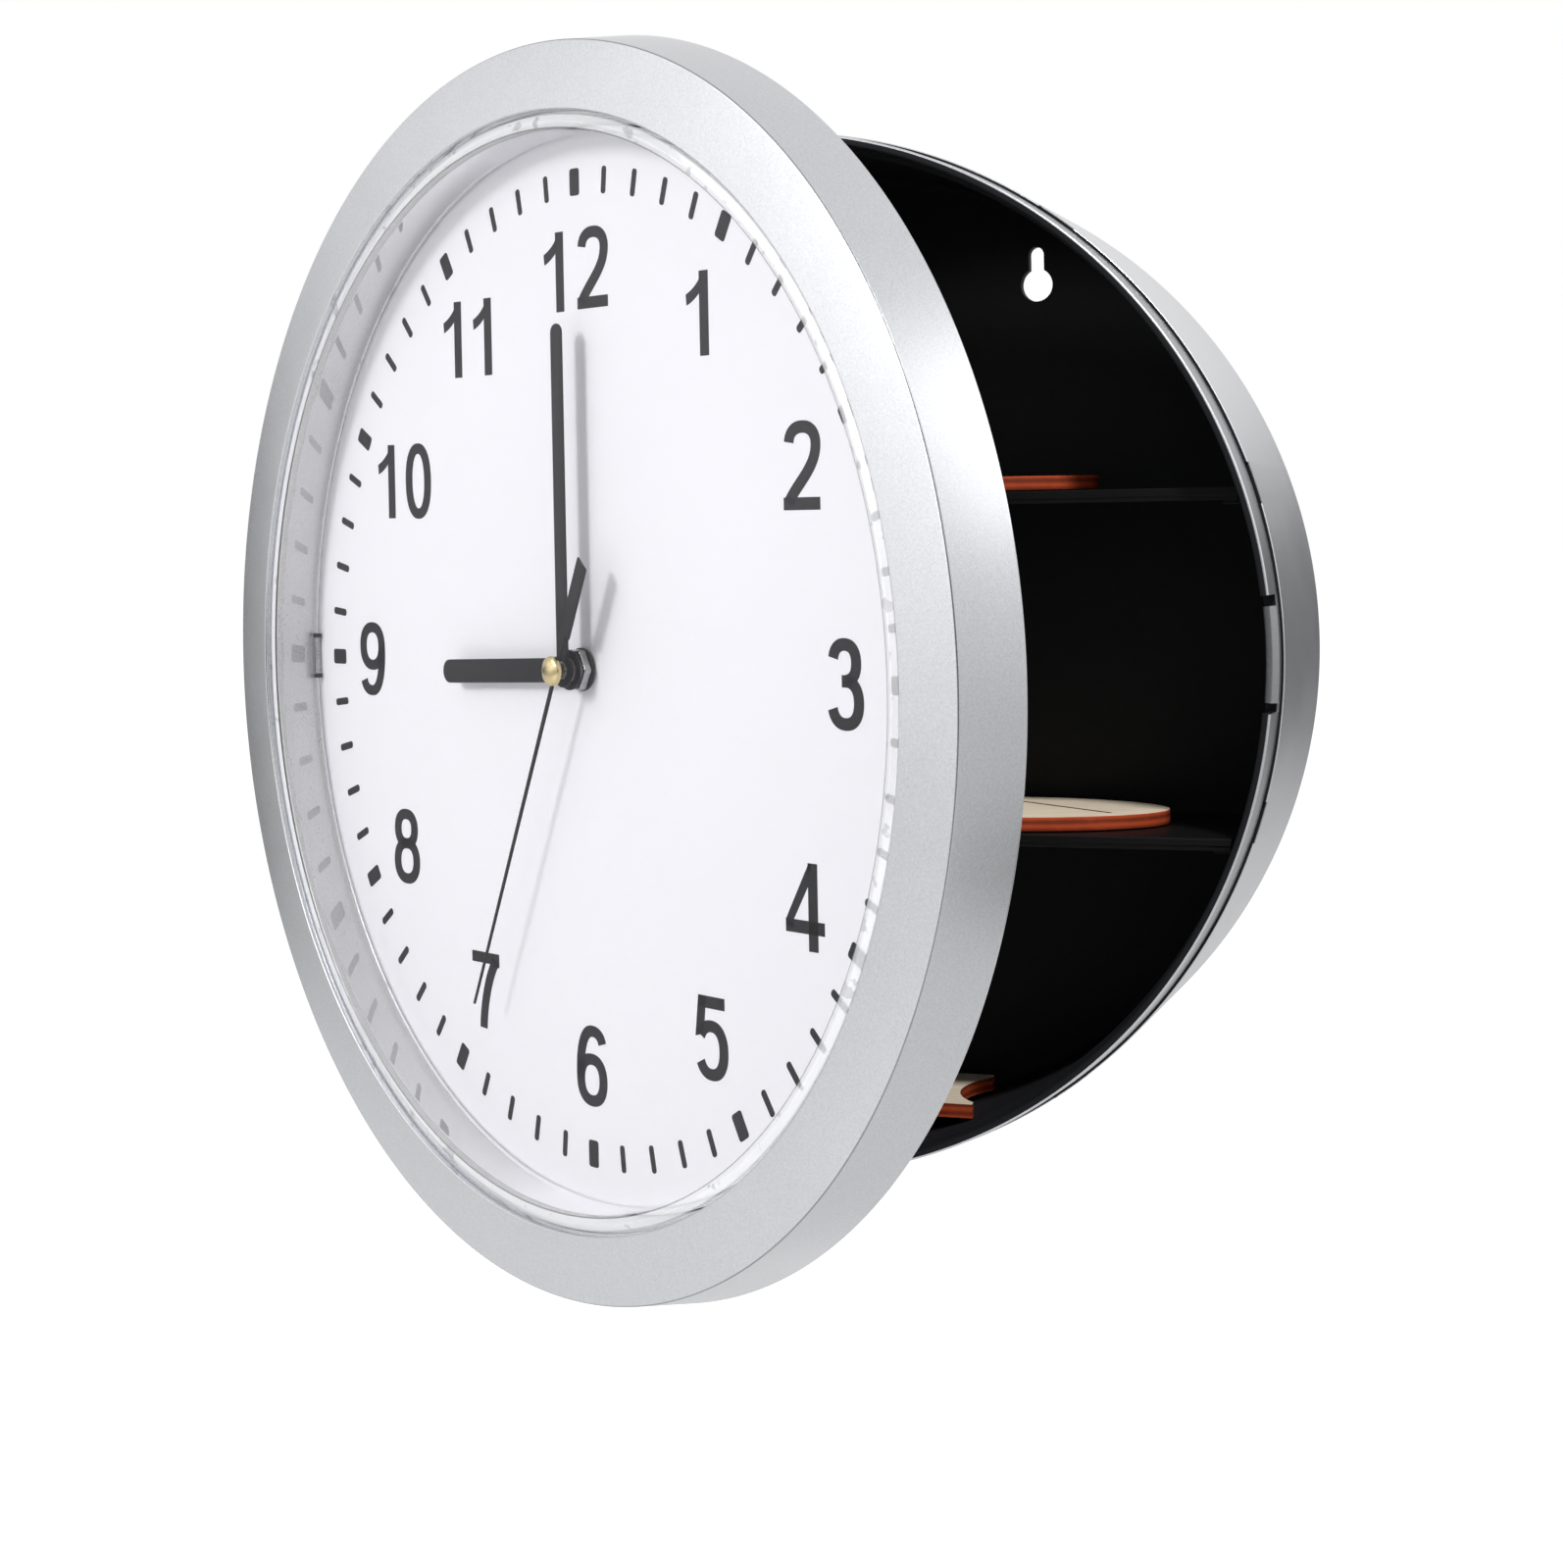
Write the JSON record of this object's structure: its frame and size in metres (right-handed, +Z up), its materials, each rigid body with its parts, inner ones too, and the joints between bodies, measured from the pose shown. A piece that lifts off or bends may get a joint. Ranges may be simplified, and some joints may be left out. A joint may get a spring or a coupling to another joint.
{
  "type": "clock diversion safe",
  "caption": "Round wall clock whose dial, lens and ring form a hinged door over a shallow round case with shelves, so that the clock hides a small compartment.",
  "frame": {"origin": "centre of the case's flat back, on the wall", "axes": "+Z up, +X to the three o'clock side, +Y into the wall; the clock faces -Y and its door stands open by 30 degrees"},
  "size_m": [0.2397, 0.1864, 0.25],
  "materials": {
    "case_silver": "silver paint on moulded plastic",
    "bezel_silver": "satin silver paint on moulded plastic",
    "shelf_black": "matt black",
    "board_wood": "bare light board with darker sawn edges",
    "steel": "plated",
    "lens_clear": "clear moulded plastic",
    "dial_white": "white printed sheet",
    "plate_black": "matt black",
    "washer_rubber": "matt",
    "movement_black": "fine grained black",
    "circuit_green": "lacquered",
    "coil_copper": "enamelled copper wire",
    "battery_jacket": "plain jacket",
    "gear_plastic": "natural white gear plastic",
    "arbor_brass": "turned",
    "hand_charcoal": "dark paint"
  },
  "bodies": {
    "case": {"case_shell": "case_silver", "case_rim": "case_silver", "shelf_upper": "shelf_black", "shelf_lower": "shelf_black", "board_upper": "board_wood", "board_lower": "board_wood", "board_floor": "board_wood", "hinge_pin": "steel"},
    "latch": {"latch_tab": "case_silver"},
    "door": {"door_bezel": "bezel_silver", "lens_seat": "bezel_silver", "door_lens": "lens_clear", "door_dial": "dial_white", "door_back_plate": "plate_black", "latch_keeper": "plate_black", "lens_clip_left": "plate_black", "lens_clip_right": "plate_black", "plate_screw_1": "steel", "plate_screw_2": "steel", "plate_screw_3": "steel", "plate_screw_4": "steel", "spindle_washer": "washer_rubber", "spindle_nut": "steel", "movement_case": "movement_black", "movement_cover": "movement_black", "circuit_board": "circuit_green", "quartz_crystal": "steel", "motor_stator": "steel", "motor_coil": "coil_copper", "battery_cell": "battery_jacket", "battery_plus_contact": "steel", "battery_minus_contact": "steel"},
    "second_spindle": {"second_wheel": "gear_plastic", "second_hand": "hand_charcoal", "second_hand_cap": "arbor_brass"},
    "fifth_gear": {"fifth_wheel": "gear_plastic"},
    "rotor": {"motor_rotor": "steel"},
    "third_gear": {"third_wheel": "gear_plastic"},
    "centre_gear": {"centre_wheel": "gear_plastic"},
    "minute_spindle": {"minute_arbor": "arbor_brass", "minute_hand": "hand_charcoal"},
    "minute_gear": {"minute_wheel": "gear_plastic"},
    "hour_pipe": {"hour_wheel": "gear_plastic", "hour_hand": "hand_charcoal"},
    "setter": {"setting_shaft": "gear_plastic", "setting_knob": "movement_black"}
  },
  "joints": [
    {"name": "door_hinge", "type": "hinge", "parent": "case", "child": "door", "pos_m": [-0.117, -0.058, 0], "axis": [0, 0, -1], "range_deg": [-30, 50]},
    {"name": "latch_flex", "type": "hinge", "parent": "case", "child": "latch", "pos_m": [0.11105, -0.0536, 0], "axis": [0, 0, -1], "range_deg": [0, 4], "stiffness_Nm_per_rad": 0.4},
    {"name": "second_hand_turn", "type": "hinge", "parent": "door", "child": "second_spindle", "pos_m": [-0.01317, -0.11217, 0], "axis": [0.5, 0.866, 0], "continuous": true},
    {"name": "fifth_turn", "type": "hinge", "parent": "door", "child": "fifth_gear", "pos_m": [-0.01858, -0.10905, 0.0036], "axis": [0.5, 0.866, 0], "continuous": true},
    {"name": "rotor_turn", "type": "hinge", "parent": "door", "child": "rotor", "pos_m": [-0.01963, -0.10844, 0.01049], "axis": [0.5, 0.866, 0], "continuous": true},
    {"name": "third_turn", "type": "hinge", "parent": "door", "child": "third_gear", "pos_m": [-0.00771, -0.11533, 0.00631], "axis": [0.5, 0.866, 0], "continuous": true},
    {"name": "centre_turn", "type": "hinge", "parent": "door", "child": "centre_gear", "pos_m": [-0.01317, -0.11217, 0], "axis": [0.5, 0.866, 0], "continuous": true},
    {"name": "minute_hand_turn", "type": "hinge", "parent": "door", "child": "minute_spindle", "pos_m": [-0.01317, -0.11217, 0], "axis": [0.5, 0.866, 0], "continuous": true},
    {"name": "minute_wheel_turn", "type": "hinge", "parent": "door", "child": "minute_gear", "pos_m": [-0.00777, -0.11529, -0.0036], "axis": [0.5, 0.866, 0], "continuous": true},
    {"name": "hour_hand_turn", "type": "hinge", "parent": "door", "child": "hour_pipe", "pos_m": [-0.01317, -0.11217, 0], "axis": [0.5, 0.866, 0], "continuous": true},
    {"name": "setter_turn", "type": "hinge", "parent": "door", "child": "setter", "pos_m": [-0.00087, -0.11928, -0.00501], "axis": [0.5, 0.866, 0], "continuous": true}
  ],
  "couplings": [
    {"joint": "fifth_turn", "follows": "second_hand_turn", "ratio": -5},
    {"joint": "rotor_turn", "follows": "second_hand_turn", "ratio": 30},
    {"joint": "third_turn", "follows": "second_hand_turn", "ratio": -0.13333},
    {"joint": "centre_turn", "follows": "second_hand_turn", "ratio": 0.016667},
    {"joint": "minute_wheel_turn", "follows": "minute_hand_turn", "ratio": -0.33333},
    {"joint": "hour_hand_turn", "follows": "minute_hand_turn", "ratio": 0.083333},
    {"joint": "setter_turn", "follows": "minute_hand_turn", "ratio": 0.66667}
  ]
}
